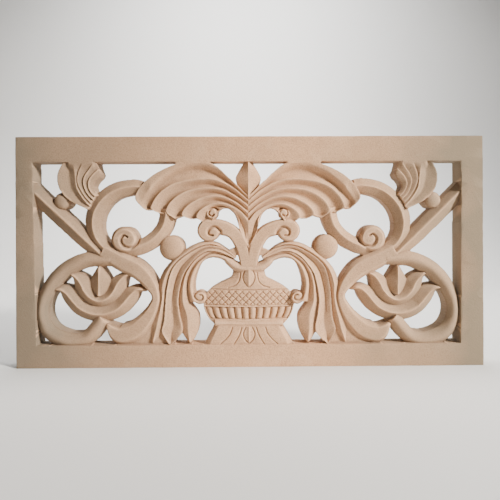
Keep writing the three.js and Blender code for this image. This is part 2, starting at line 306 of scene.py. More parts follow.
@dataclass
class Carver:
    """Collects the members' carved tops as one surface, and the grooves that are cut into it.

    Args:
        drawing: Where the drawing lies on the slab.
        steps: Steps along each member.
        spans: Steps across each member.
    """

    drawing: Drawing
    steps: int = 72
    spans: int = 16
    vertices: list[tuple[float, float, float]] = field(default_factory=list)
    faces: list[tuple[int, ...]] = field(default_factory=list)
    grooves: list[tuple[np.ndarray, float, Side]] = field(default_factory=list)
    members: int = 0

    def patch(self, out: np.ndarray, up: np.ndarray, depth: np.ndarray, side: Side) -> None:
        """Adds a sheet of the surface.

        Args:
            out: Distances from the middle line.
            up: Heights above the sill.
            depth: Depths below the face.
            side: The half that it is carved on.
        """
        x, z = self.drawing.across(out, up, side)
        start = len(self.vertices)
        rows, columns = out.shape
        self.vertices.extend(zip(x.ravel(), depth.ravel(), z.ravel()))
        for i in range(rows - 1):
            first = start + i * columns
            self.faces.extend(
                (first + j, first + j + 1, first + columns + j + 1, first + columns + j)
                for j in range(columns - 1)
            )
        self.members += 1

    def between(self, edge_a: np.ndarray, edge_b: np.ndarray, section: Section, side: Side) -> None:
        """Adds a member between two edges.

        Args:
            edge_a: Points along one edge.
            edge_b: As many points along the other.
            section: The depth across the member.
            side: The half that it is carved on.
        """
        shares = np.linspace(0, 1, self.spans + 1)
        span = np.linalg.norm(edge_b[:, :2] - edge_a[:, :2], axis=1)[:, None]
        lap = np.where(span > 1.2, 1.2 / np.maximum(span, 1.2), 0.0)
        along = shares[None, :] * (1 + 2 * lap) - lap
        out = edge_a[:, :1] + (edge_b[:, :1] - edge_a[:, :1]) * along
        up = edge_a[:, 1:2] + (edge_b[:, 1:2] - edge_a[:, 1:2]) * along
        tip = np.clip(span / section.fade, 0, 1)
        depth = section.edge + (section.depths(shares)[None, :] - section.edge) * tip
        self.patch(out, up, depth, side)

    def lobe(self, points_a: Stations, points_b: Stations, section: Section, side: Side) -> None:
        """Adds a member between two drawn edges."""
        self.between(smooth_path(points_a, self.steps), smooth_path(points_b, self.steps), section, side)

    def stroke(self, stations: Stations, section: Section, side: Side) -> None:
        """Adds a member along a spine.

        Args:
            stations: The spine, as out, up and width.
            section: The depth across the member.
            side: The half that it is carved on.
        """
        path = smooth_path(stations, self.steps)
        run = np.gradient(path[:, :2], axis=0)
        run /= np.maximum(np.linalg.norm(run, axis=1), 1e-9)[:, None]
        reach = np.maximum(path[:, 2:3], 0) / 2
        normal = np.column_stack([-run[:, 1], run[:, 0]])
        self.between(path[:, :2] + normal * reach, path[:, :2] - normal * reach, section, side)

    def turned(self, out: float, up: float, profile: Stations, side: Side) -> None:
        """Adds a round boss.

        Args:
            out: How far the centre is from the middle line.
            up: The centre's height above the sill.
            profile: Radii and depths, from the middle outwards.
            side: The half that it is carved on.
        """
        radius, depth = (column[:, None] for column in np.array(profile, dtype=float).T)
        angle = np.linspace(0, math.tau, 49)[None, :]
        self.patch(out + radius * np.cos(angle), up + radius * np.sin(angle), depth + 0 * angle, side)

    def disc(self, boss: Boss, side: Side) -> None:
        """Adds a flat boss."""
        profile = [[0, boss.face], [boss.radius - boss.chamfer, boss.face], [boss.radius, boss.edge]]
        self.turned(boss.out, boss.up, profile, side)

    def dome(self, ball: Ball, side: Side) -> None:
        """Adds a ball cut in half by the slab.

        Args:
            ball: The ball.
            side: The half that it is on.
        """
        angles = np.linspace(0, math.pi / 2, 14)
        depths = ball.rim + (ball.crown - ball.rim) * np.cos(angles)
        self.turned(ball.out, ball.up, np.column_stack([ball.radius * np.sin(angles), depths]), side)

    def plate(self, points: Stations, depth: float, side: Side) -> None:
        """Adds a level web.

        Args:
            points: The outline.
            depth: Its depth below the face.
            side: The half that it is carved on.
        """
        out, up = np.array(points, dtype=float).T
        x, z = self.drawing.across(out, up, side)
        start = len(self.vertices)
        self.vertices.extend((a, depth, b) for a, b in zip(x, z))
        outline = [Vector((a, b, 0.0)) for a, b in zip(x, z)]
        self.faces.extend(tuple(start + i for i in triangle) for triangle in tessellate_polygon([outline]))
        self.members += 1

    def groove(self, stations: Stations, depth: float, side: Side) -> None:
        """Cuts a V groove."""
        self.grooves.append((smooth_path(stations, 90), depth, side))


@dataclass(frozen=True)
class Merge:
    """A stretch of the top border that a motif grows into, so that its face rises to the border's level.

    Args:
        near: Where the stretch starts, from the middle line.
        far: Where it ends.
        fade: The width over which it begins and ends.
        foot: The height above the sill from which the face rises.
        slope: How much higher it is level.
        middle: Where the foot is highest, if it is an arch.
        bow: How fast the arch falls, for each square millimetre away from there.
    """

    near: float
    far: float
    fade: float
    foot: float
    slope: float
    middle: float = 0.0
    bow: float = 0.0

    def applied(self, out: np.ndarray, up: np.ndarray, depth: np.ndarray) -> np.ndarray:
        """Raises the carved face to the border's.

        Args:
            out: Signed distances from the middle line.
            up: Heights above the sill.
            depth: The carved depths so far.

        Returns:
            The depths, falling to nothing at the border.
        """
        away = np.abs(out)
        beside = np.clip((away - self.near) / self.fade, 0, 1) * np.clip((self.far - away) / self.fade, 0, 1)
        foot = self.foot - self.bow * (away - self.middle) ** 2
        rise = np.clip((up - foot) / self.slope, 0, 1)
        return depth * (1 - beside * rise * rise * (3 - 2 * rise))


class Motif:
    """One motif of the drawing, carved by the carver on the halves where it belongs."""

    sides: tuple[Side, ...] = (Side.LEFT, Side.RIGHT)

    def carve(self, carver: Carver, side: Side) -> None:
        """Carves the motif."""
        raise NotImplementedError

    def finish(self, out: np.ndarray, up: np.ndarray, depth: np.ndarray) -> np.ndarray:
        """Works over the carved depths, where the motif needs it."""
        return depth


@dataclass
class ScrollWork(Motif):
    """The stem from the jamb, the C scroll with its volute, and the two balls."""

    stem: Stations = ((600, 434, 42), (540, 376, 41), (480, 319, 42), (434, 275, 40), (385, 230, 30))
    scroll: Stations = (
        (280, 413, 34), (300, 415, 38), (350, 404, 41), (386, 375, 43),
        (405, 338, 44), (405, 297, 39), (388, 264, 34), (346, 229, 36),
    )
    lower_arm: Stations = (
        (212, 356, 40), (214, 335, 40), (223, 308, 38), (243, 283, 38), (274, 262, 38), (304, 254, 42),
        (330, 262, 40),
    )
    volute: Stations = (
        (290, 282, 11), (293, 268, 13), (305, 257, 13), (320, 256, 13), (332, 266, 12), (334, 279, 11),
        (326, 287, 9), (317, 283, 7),
    )
    volute_cut: float = 8.0
    boss: Boss = Boss(326, 276, 35, face=3, edge=13, chamfer=8)
    stem_ball: Ball = Ball(488, 377, 22, crown=5, rim=17)
    leaf_ball: Ball = Ball(203, 253, 33, crown=3, rim=19)

    def carve(self, carver: Carver, side: Side) -> None:
        """Carves the motif.

        Args:
            carver: The carver that collects the members.
            side: The half that it is carved on.
        """
        carver.stroke(self.stem, Ridge(crest=3, edge=19, lean=0.6), side)
        carver.stroke(self.scroll, Ridge(crest=3, edge=17), side)
        carver.stroke(self.lower_arm, Ridge(crest=4, edge=17, lean=0.45), side)
        carver.disc(self.boss, side)
        carver.dome(self.stem_ball, side)
        carver.dome(self.leaf_ball, side)
        carver.groove(self.volute, self.volute_cut, side)


@dataclass
class LowerRing(Motif):
    """The round stem that curls into a ring, and the long leaf that closes it."""

    stem: Stations = (
        (362, 224, 34), (430, 221, 38), (484, 195, 38), (520, 155, 37), (540, 108, 32), (540, 68, 33),
        (523, 33, 38), (490, 13, 40), (456, 8, 39), (425, 17, 37), (400, 43, 37), (381, 68, 34),
    )
    leaf: Stations = (
        (384, 246, 38), (332, 216, 46), (294, 197, 46), (262, 165, 36), (243, 126, 21),
        (252, 94, 30), (277, 58, 43), (307, 33, 50), (340, 27, 48), (372, 53, 6),
    )

    def carve(self, carver: Carver, side: Side) -> None:
        """Carves the motif."""
        carver.stroke(self.stem, Section(crest=2, edge=15), side)
        carver.stroke(self.leaf, Flat(crest=3, edge=12, chamfer=0.2), side)


@dataclass
class Lotus(Motif):
    """The lotus in the ring: a bud and two pairs of pointed petals."""

    axis: float = 393.0
    bud: Stations = (
        (393, 211, 0), (393, 192, 26), (393, 167, 51), (393, 146, 42), (393, 131, 24), (393, 125, 0),
    )
    inner: Stations = (
        (477, 186, 0), (457, 179, 22), (441, 160, 42), (431, 140, 39), (414, 122, 33), (393, 114, 31),
    )
    outer: Stations = (
        (521, 141, 0), (496, 145, 20), (478, 134, 39), (462, 115, 44), (444, 96, 43),
        (421, 84, 41), (393, 79, 39),
    )
    heart: Stations = ((444, 150, 24), (420, 110, 34), (393, 99, 36))

    def carve(self, carver: Carver, side: Side) -> None:
        """Carves the motif.

        Args:
            carver: The carver that collects the members.
            side: The half that it is carved on.
        """
        carver.stroke(self.bud, Ridge(crest=4, edge=20), side)
        carver.stroke(arch(self.inner, self.axis), Ridge(crest=5, edge=21), side)
        carver.stroke(arch(self.outer, self.axis), Ridge(crest=5, edge=22), side)
        carver.stroke(arch(self.heart, self.axis), Flat(crest=25, edge=25), side)


@dataclass
class CornerFlower(Motif):
    """The flower in the upper corner, its petals laid over each other like shingles."""

    edges: Sequence[Stations] = (
        ((472, 492), (491, 462), (497, 438), (490, 407), (466, 380), (417, 355)),
        ((459, 492), (455, 464), (451, 438), (447, 410), (429, 380), (412, 362)),
        ((418, 492), (440, 462), (447, 434), (443, 417), (426, 388), (410, 370)),
        ((398, 484), (412, 465), (425, 447), (431, 430), (429, 416), (420, 396), (404, 379)),
        ((392, 460), (404, 449), (413, 438), (418, 424), (416, 410), (409, 398), (399, 388)),
        ((387, 449), (392, 439), (401, 430), (407, 418), (405, 406), (394, 391)),
    )
    merge: Merge = Merge(near=398.0, far=474.0, fade=7.0, foot=456.0, slope=22.0)
    behind: Stations = (
        (468, 492), (486, 450), (480, 405), (440, 375), (412, 364), (406, 400), (413, 425), (402, 440),
        (402, 492),
    )

    def carve(self, carver: Carver, side: Side) -> None:
        """Carves the motif.

        Args:
            carver: The carver that collects the members.
            side: The half that it is carved on.
        """
        carver.lobe(self.edges[0], self.edges[1], Ridge(crest=10, edge=2.5, fade=20.0, lean=0.6), side)
        for outer, inner in zip(self.edges[1:], self.edges[2:]):
            carver.lobe(outer, inner, Ridge(crest=2.5, edge=9, fade=6.0, lean=0.07), side)
        carver.plate(self.behind, WEB_DEPTH, side)

    def finish(self, out: np.ndarray, up: np.ndarray, depth: np.ndarray) -> np.ndarray:
        """Lets the petals rise to the level of the border that they grow into."""
        return self.merge.applied(out, up, depth)


@dataclass
class Frond(Motif):
    """The frond over the middle: hollow lobes that spring from the trunk and arch outwards."""

    edges: Sequence[Stations] = (
        ((0, 386), (40, 426), (98, 473), (150, 480), (200, 467), (250, 442), (283, 411), (294, 384)),
        ((0, 376), (40, 409), (90, 431), (150, 431), (197, 420), (228, 400), (247, 375), (253, 358)),
        ((0, 361), (31, 385), (72, 405), (126, 408), (168, 398), (203, 372), (213, 348)),
        ((0, 343), (31, 369), (72, 387), (112, 386), (150, 369), (167, 353), (172, 339)),
        ((0, 322), (21, 347), (60, 367), (99, 366), (129, 346), (134, 332)),
        ((0, 252), (24, 304), (25, 326), (40, 350), (68, 356), (86, 340), (100, 318)),
    )
    tips: Stations = ((268, 353), (231, 344), (193, 330), (152, 328), (118, 320))
    troughs: Sequence[float] = (15, 15, 14, 13, 12)
    vein: Stations = ((7, 276, 3), (14, 306, 5), (28, 336, 5), (54, 354, 3))
    merge: Merge = Merge(near=64.0, far=286.0, fade=30.0, foot=457.0, slope=24.0, middle=135.0, bow=0.0046)
    bridge: Stations = ((198, 492), (188, 471), (150, 474), (104, 474), (94, 492))
    volute: Stations = (
        (79, 351, 7), (90, 357, 8), (101, 351, 8), (103, 341, 8), (96, 335, 7), (90, 340, 6),
    )
    vein_cut: float = 2.5
    volute_cut: float = 7.0
    boss: Boss = Boss(95, 342, 15)

    def carve(self, carver: Carver, side: Side) -> None:
        """Carves the motif.

        Args:
            carver: The carver that collects the members.
            side: The half that it is carved on.
        """
        for above, below, tip, trough in zip(self.edges, self.edges[1:], self.tips, self.troughs):
            carver.lobe((*above, tip), (*below, tip), Hollow(crest=trough, edge=3), side)
        carver.plate(self.bridge, 0, side)
        carver.disc(self.boss, side)
        carver.groove(self.vein, self.vein_cut, side)
        carver.groove(self.volute, self.volute_cut, side)

    def finish(self, out: np.ndarray, up: np.ndarray, depth: np.ndarray) -> np.ndarray:
        """Lets the highest lobe rise to the level of the border that it grows into."""
        return self.merge.applied(out, up, depth)


@dataclass
class Arm(Motif):
    """The arm that rises from the pot and ends in a volute."""

    spine: Stations = (
        (8, 196, 26), (11, 225, 28), (22, 265, 33), (42, 293, 33), (74, 306, 38), (105, 309, 36),
    )
    volute: Stations = (
        (72, 282, 10), (75, 296, 12), (86, 306, 12), (98, 305, 12), (106, 296, 11), (103, 286, 9),
        (94, 285, 7),
    )
    volute_cut: float = 7.0
    boss: Boss = Boss(105, 298, 30, chamfer=5)

    def carve(self, carver: Carver, side: Side) -> None:
        """Carves the motif.

        Args:
            carver: The carver that collects the members.
            side: The half that it is carved on.
        """
        carver.stroke(self.spine, Flat(crest=4, edge=12, chamfer=0.12), side)
        carver.disc(self.boss, side)
        carver.groove(self.volute, self.volute_cut, side)


@dataclass
class DroopingLeaves(Motif):
    """Three ribbed leaves that droop beside the pot, and the cord that ends in a curl."""

    edges: Sequence[Stations] = (
        (
            (34, 229), (84, 264), (116, 268), (148, 259), (200, 222),
            (226, 190), (236, 160), (236, 124), (257, 51),
        ),
        ((34, 227), (66, 249), (108, 257), (147, 243), (196, 204), (212, 155), (220, 64), (226, 34)),
        (
            (36, 225), (80, 243), (107, 245), (134, 232), (156, 209),
            (173, 182), (186, 117), (182, 79), (176, 34),
        ),
        (
            (42, 224), (80, 235), (102, 236), (124, 224), (146, 203),
            (160, 165), (155, 110), (133, 72), (136, 30),
        ),
        ((58, 216), (84, 226), (107, 225), (125, 213), (136, 192), (144, 160), (142, 134), (128, 112)),
    )
    tips: Stations = ((255, -2), (206, -2), (154, -2))
    behind: Stations = (
        (45, 228, 8), (100, 243, 18), (138, 231, 30), (166, 200, 44), (190, 155, 46), (192, 70, 46),
    )
    beside_lip: Stations = ((22, 258), (38, 252), (54, 245), (50, 240), (40, 230), (22, 236))
    foot_web: Stations = ((336, -10), (294, 18), (260, 52), (236, 86), (212, 70), (208, 38), (190, -10))
    curl: Stations = (
        (145, 133, 6), (140, 121, 8), (130, 114, 8), (121, 119, 8), (122, 128, 7), (129, 129, 6),
    )
    curl_cut: float = 5.0
    rib_cut: float = 2.0
    lip_depth: float = 9.0
    foot_depth: float = 12.0
    boss: Boss = Boss(128, 121, 17)
    ribs: Sequence[Stations] = (
        (
            (62, 247, 3), (110, 263, 5), (148, 251, 5), (190, 221, 6),
            (215, 182, 6), (226, 140, 5), (232, 84, 3),
        ),
        (
            (66, 243, 3), (108, 251, 5), (141, 238, 5), (176, 206, 6),
            (193, 168, 6), (203, 116, 5), (203, 60, 3),
        ),
        ((70, 239, 3), (92, 240, 4), (115, 237, 5), (140, 218, 5), (160, 186, 4), (168, 150, 3)),
    )

    def carve(self, carver: Carver, side: Side) -> None:
        """Carves the motif.

        Args:
            carver: The carver that collects the members.
            side: The half that it is carved on.
        """
        a, b, c, d, e = self.edges
        first, second, third = self.tips
        carver.lobe((*a, first), (*b, first), Ridge(crest=3, edge=14), side)
        carver.lobe((*b, second), (*c, second), Ridge(crest=12, edge=3, fade=20.0), side)
        carver.lobe((*c, third), (*d, third), Ridge(crest=3, edge=14, lean=0.45), side)
        carver.lobe(d[:-2], e, Section(crest=3, edge=13), side)
        carver.disc(self.boss, side)
        carver.stroke(self.behind, Flat(crest=WEB_DEPTH, edge=WEB_DEPTH), side)
        carver.plate(self.beside_lip, self.lip_depth, side)
        carver.plate(self.foot_web, self.foot_depth, side)
        carver.groove(self.curl, self.curl_cut, side)
        for rib in self.ribs:
            carver.groove(rib, self.rib_cut, side)


@dataclass
class Bud(Motif):
    """The bud that hangs from the top border over the middle."""

    sides: tuple[Side, ...] = (Side.LEFT,)
    spine: Stations = (
        (0, 492, 9), (0, 470, 29), (0, 452, 50), (0, 436, 64), (0, 420, 57), (0, 398, 27), (0, 372, 0),
    )

    def carve(self, carver: Carver, side: Side) -> None:
        """Carves the motif."""
        carver.stroke(self.spine, Ridge(crest=2, edge=14), side)


@dataclass
class Pot(Motif):
    """The pot: lip, neck, shoulder, lattice band, flutes, moulding and splayed foot."""

    sides: tuple[Side, ...] = (Side.LEFT,)
    mouth: Stations = ((70, 228), (50, 225), (34, 215), (17, 209))
    lip: Stations = ((70, 228), (59, 210), (41, 195), (17, 188))
    contour: Stations = (
        (41, 204), (42, 184), (47, 173), (60, 166), (78, 157), (102, 141),
        (114, 127), (118, 111), (117, 96), (112, 80), (104, 66), (90, 51),
    )
    foot: Stations = ((86, 54), (97, 33), (110, 10), (121, -10))
    moulding: Stations = ((89, 54, 18), (0, 54, 18), (-89, 54, 18))
    neck_leaf: Stations = ((0, 196, 20), (0, 178, 30), (0, 162, 22), (0, 150, 0))
    foot_leaf: Stations = ((0, 46, 16), (0, 28, 28), (0, 14, 20), (0, 2, 0))
    leaf_section: Section = Ridge(crest=0.3, edge=6)
    lines: Sequence[Stations] = (
        ((22, 189, 4), (24, 172, 4), (30, 159, 4), (42, 151, 4), (58, 147, 4)),
        ((11, 192, 4), (16, 178, 4), (12, 162, 4), (1, 149, 4)),
        ((8, 45, 4), (15, 28, 4), (11, 14, 4), (1, 2, 4)),
        ((19, 44, 4), (24, 28, 4), (31, 14, 4), (40, 0, 4)),
        ((43, 44, 4), (49, 28, 4), (60, 14, 4), (74, 1, 4)),
    )
    line_cut: float = 3.5
    band_foot: float = 101.0
    band_top: float = 142.0
    band_reach: float = 114.0
    band_margin: float = 2.0
    lattice_pitch: float = 18.0
    lattice_line: float = 2.8
    lattice_cut: float = 3.6
    flutes: int = 12
    flute_foot: float = 65.0
    flute_top: float = 98.0
    flute_fall: float = 9.0
    flute_step: float = 1.0
    flute_end: float = 5.0
    flute_end_cut: float = 2.5

    def carve(self, carver: Carver, side: Side) -> None:
        """Carves the motif.

        Args:
            carver: The carver that collects the members.
            side: The half that it is carved on.
        """
        mouth = [*self.mouth, *turned_over(self.mouth[::-1], 0)]
        lip = [*self.lip, *turned_over(self.lip[::-1], 0)]
        carver.lobe(mouth, lip, Section(crest=1.5, edge=10), side)
        carver.lobe(self.contour, turned_over(self.contour, 0), Section(crest=4, edge=16), side)
        carver.lobe(self.foot, turned_over(self.foot, 0), Flat(crest=3, edge=12, chamfer=0.06), side)
        carver.stroke(self.moulding, Section(crest=1, edge=12), side)
        carver.stroke(self.neck_leaf, self.leaf_section, side)
        carver.stroke(self.foot_leaf, self.leaf_section, side)
        for line in self.lines:
            for half in (line, turned_over(line, 0)):
                carver.groove(half, self.line_cut, side)
        for level in (self.band_foot, self.band_top):
            rule = [[out, level, 5] for out in (self.band_reach, 0, -self.band_reach)]
            carver.groove(rule, self.line_cut, side)

    def finish(self, out: np.ndarray, up: np.ndarray, depth: np.ndarray) -> np.ndarray:
        """Cuts the lattice and the flutes into the pot's belly.

        Args:
            out: Signed distances from the middle line.
            up: Heights above the sill.
            depth: The carved depths so far.

        Returns:
            The depths with the lattice and the flutes.
        """
        levels, widths = np.array(self.contour[::-1], dtype=float)[:, ::-1].T
        half = np.interp(up, levels, widths)
        on_pot = np.abs(out) < half - 1.5
        band = on_pot & (up > self.band_foot + self.band_margin) & (up < self.band_top - self.band_margin)
        fluted = on_pot & (up > self.flute_foot) & (up < self.flute_top)
        depth = depth + np.where(band, self.lattice(out, up), 0)
        return depth + np.where(fluted, self.fluting(out, up, half), 0)

    def lattice(self, out: np.ndarray, up: np.ndarray) -> np.ndarray:
        """Rules the two crossing sets of lattice lines.

        Args:
            out: Signed distances from the middle line.
            up: Heights above the sill.

        Returns:
            How deep the lines cut.
        """
        cut = np.zeros_like(out)
        for lean in (1, -1):
            phase = ((out + lean * (up - self.band_foot)) / self.lattice_pitch) % 1.0
            off_line = np.minimum(phase, 1 - phase) * self.lattice_pitch
            cut = np.maximum(cut, self.lattice_cut * np.clip(1 - off_line / self.lattice_line, 0, 1))
        return cut

    def fluting(self, out: np.ndarray, up: np.ndarray, half: np.ndarray) -> np.ndarray:
        """Shapes the flutes, which run together towards the pot's foot.

        Args:
            out: Signed distances from the middle line.
            up: Heights above the sill.
            half: The pot's half width at each height.

        Returns:
            How deep the flutes and the gaps between them lie.
        """
        share = (np.clip(out / np.maximum(half, 1), -1, 1) + 1) / 2 * self.flutes
        rib = self.flute_fall * (1 - np.sqrt(np.abs(np.sin(np.pi * share))))
        rise = np.clip((up - self.flute_foot) / self.flute_end, 0, 1)
        ends = rise * np.clip((self.flute_top - up) / self.flute_end, 0, 1)
        return self.flute_step + rib * np.sqrt(ends) + self.flute_end_cut * (1 - ends)


@dataclass
class Scribble(Motif):
    """A faint scratched mark on the lower border: two rows of short shallow strokes."""

    sides: tuple[Side, ...] = (Side.RIGHT,)
    start: float = -14.0
    end: float = 102.0
    row: float = -27.0
    strokes: int = 17
    width: float = 2.6
    cut: float = 0.7

    def carve(self, carver: Carver, side: Side) -> None:
        """Carves the motif.

        Args:
            carver: The carver that collects the members.
            side: The half that it is carved on.
        """
        pace = (self.end - self.start) / self.strokes
        for i in range(self.strokes):
            out = self.start + pace * (i + 0.5)
            lean = 2.4 * math.sin(2.3 * i)
            foot = self.row - 3.2 - 1.5 * math.cos(1.7 * i)
            top = foot + 5.0 + 2.0 * math.sin(1.1 * i)
            spots = ((out - lean, foot), (out, (foot + top) / 2), (out + lean, top))
            carver.groove([(*spot, self.width) for spot in spots], self.cut, side)


def blurred(values: np.ndarray, sigma: float) -> np.ndarray:
    """Softens a grid with a Gaussian, its border carried on outwards.

    Args:
        values: The grid.
        sigma: The Gaussian's width in cells.

    Returns:
        The softened grid.
    """
    if sigma <= 0:
        return values
    reach = max(1, math.ceil(3 * sigma))
    weights = np.exp(-0.5 * (np.arange(-reach, reach + 1) / sigma) ** 2)
    weights /= weights.sum()
    for axis in (0, 1):
        padding = [(reach, reach) if axis == i else (0, 0) for i in (0, 1)]
        padded = np.pad(values, padding, mode="edge")
        size = values.shape[axis]
        values = sum(w * np.take(padded, range(i, i + size), axis=axis) for i, w in enumerate(weights))
    return values


def slow_noise(shape: tuple[int, int], cells: float, seed: int) -> np.ndarray:
    """Makes even noise of unit size, with a grain of so many cells."""
    raw = blurred(np.random.default_rng(seed).standard_normal(shape), cells)
    return raw / max(raw.std(), 1e-9)


@dataclass
class Relief:
    """The slab's carved face as a grid of depths, with the field that tells stone from air.

    Every length is in millimetres.

    Args:
        drawing: Where the drawing lies on the slab.
        pitch: The grid's spacing.
        softening: How far the rubbing rounds every crest.
        arris: How deep the wear goes along an arris.
        arris_reach: How far in from the arris it reaches.
        arris_grain: The length over which the wear varies.
        arris_share: How much it varies.
        arris_limits: The least and the most wear.
        fine: The height and the grain of the tool's unevenness.
        broad: The height and the grain of the hand's unevenness.
        frame_share: The share of that unevenness on the plain frame.
        cavity_reach: The width over which a hollow is judged.
        cavity_depth: The depth beside its surroundings that counts as fully sunken.
        least_depth: How far every point stays inside the slab's face.
    """

    drawing: Drawing
    pitch: float
    softening: float = 0.55
    arris: float = 1.1
    arris_reach: float = 1.5
    arris_grain: float = 9.0
    arris_share: float = 0.35
    arris_limits: tuple[float, float] = (0.3, 2.2)
    fine: tuple[float, float] = (0.16, 5.0)
    broad: tuple[float, float] = (0.12, 16.0)
    frame_share: float = 0.4
    cavity_reach: float = 3.0
    cavity_depth: float = 1.8
    least_depth: float = 0.05
    wear_seed: int = 3
    fine_seed: int = 4
    broad_seed: int = 5

    def __post_init__(self) -> None:
        """Lays the grid over the slab, all of it stone and uncarved."""
        low, high = self.drawing.low, self.drawing.high
        columns = round((high[0] - low[0]) / self.pitch) + 1
        rows = round((high[2] - low[2]) / self.pitch) + 1
        across, upward = np.linspace(low[0], high[0], columns), np.linspace(low[2], high[2], rows)
        self.x, self.z = np.meshgrid(across, upward)
        self.framed = self.drawing.in_frame(self.x, self.z)
        self.depth = np.zeros_like(self.x)
        self.stone = np.ones_like(self.x)
        self.cavity = np.zeros_like(self.x)

    def cast(self, carver: Carver) -> None:
        """Reads the carved surface from the front, node by node.

        Args:
            carver: The carver, with all its members.
        """
        tree = BVHTree.FromPolygons(carver.vertices, carver.faces)
        depth = np.where(self.framed, 0.0, np.inf)
        ahead = Vector((0.0, 1.0, 0.0))
        before = -self.drawing.thickness
        for i, j in zip(*np.nonzero(~self.framed)):
            spot = tree.ray_cast(Vector((self.x[i, j], before, self.z[i, j])), ahead)[0]
            if spot is not None:
                depth[i, j] = spot.y
        self.stone = np.isfinite(depth).astype(float)
        self.depth = np.where(self.stone > 0, depth, 0.0)

    def cut(self, carver: Carver) -> None:
        """Cuts the grooves.

        Args:
            carver: The carver, with all its grooves.
        """
        cut = np.zeros_like(self.depth)
        for path, depth, side in carver.grooves:
            x, z = self.drawing.across(path[:, 0], path[:, 1], side)
            reach = path[:, 2].max() / 2
            near = np.abs(self.x - x.mean()) < np.ptp(x) / 2 + 2 * reach
            near &= np.abs(self.z - z.mean()) < np.ptp(z) / 2 + 2 * reach
            gap = np.hypot(self.x[near][:, None] - x[None, :], self.z[near][:, None] - z[None, :])
            share = 1 - gap / np.maximum(path[None, :, 2] / 2, 0.5)
            cut[near] = np.maximum(cut[near], depth * np.clip(share.max(axis=1), 0, 1))
        self.depth += cut

    def soften(self) -> None:
        """Rounds crests and arrises a little, as rubbed sandstone is, measures how sunken each place is for
        the painted shade and highlight, and leaves the hand's unevenness.
        """
        self.round_over()
        # How sunken each place is; the stone's colour turns it into painted shade in the hollows and a
        # painted highlight on the crests.
        level = blurred(self.depth, self.cavity_reach / self.pitch)
        sunken = np.clip((self.depth - level) / self.cavity_depth, -1, 1)
        self.cavity = np.where(self.framed, 0.0, sunken)
        self.wear_edges()
        uneven = sum(height * slow_noise(self.x.shape, grain / self.pitch, seed) for (height, grain), seed
                     in ((self.fine, self.fine_seed), (self.broad, self.broad_seed)))
        self.depth += np.where(self.framed, self.frame_share * uneven, uneven)
        self.depth = np.maximum(self.depth, self.least_depth)
        self.stone = blurred(self.stone, 1.0)

    def round_over(self) -> None:
        """Rounds every crest, with the air left out of the average."""
        sigma = self.softening / self.pitch
        weight = np.maximum(blurred(self.stone, sigma), 1e-6)
        smooth = blurred(self.depth * self.stone, sigma) / weight
        wide = np.maximum(blurred(self.stone, 3 * sigma), 1e-6)
        filled = blurred(self.depth * self.stone, 3 * sigma) / wide
        self.depth = np.where(weight > 0.3, smooth, filled)

    def wear_edges(self) -> None:
        """Wears every arris down, more in some places than in others."""
        near_edge = blurred(np.pad(self.stone, 1), self.arris_reach / self.pitch)[1:-1, 1:-1]
        uneven = slow_noise(self.x.shape, self.arris_grain / self.pitch, self.wear_seed)
        wear = np.clip(self.arris * (1 + self.arris_share * uneven), *self.arris_limits)
        self.depth += wear * np.clip((1 - near_edge) * 2, 0, 1) ** 2

    def hollows(self, places: np.ndarray) -> np.ndarray:
        """Reads how sunken the stone is beside its surroundings.

        Args:
            places: Points of the finished mesh, in metres.

        Returns:
            A value for each point, from -1 on a crest to 1 in a hollow, and 0 on the back.
        """
        low, high = self.drawing.low, self.drawing.high
        rows, columns = self.x.shape
        j = np.rint((places[:, 0] / MM - low[0]) / (high[0] - low[0]) * (columns - 1)).astype(int)
        i = np.rint((places[:, 2] / MM - low[2]) / (high[2] - low[2]) * (rows - 1)).astype(int)
        sunken = self.cavity[np.clip(i, 0, rows - 1), np.clip(j, 0, columns - 1)]
        return np.where(places[:, 1] / MM > high[1] - 1, 0.0, sunken)


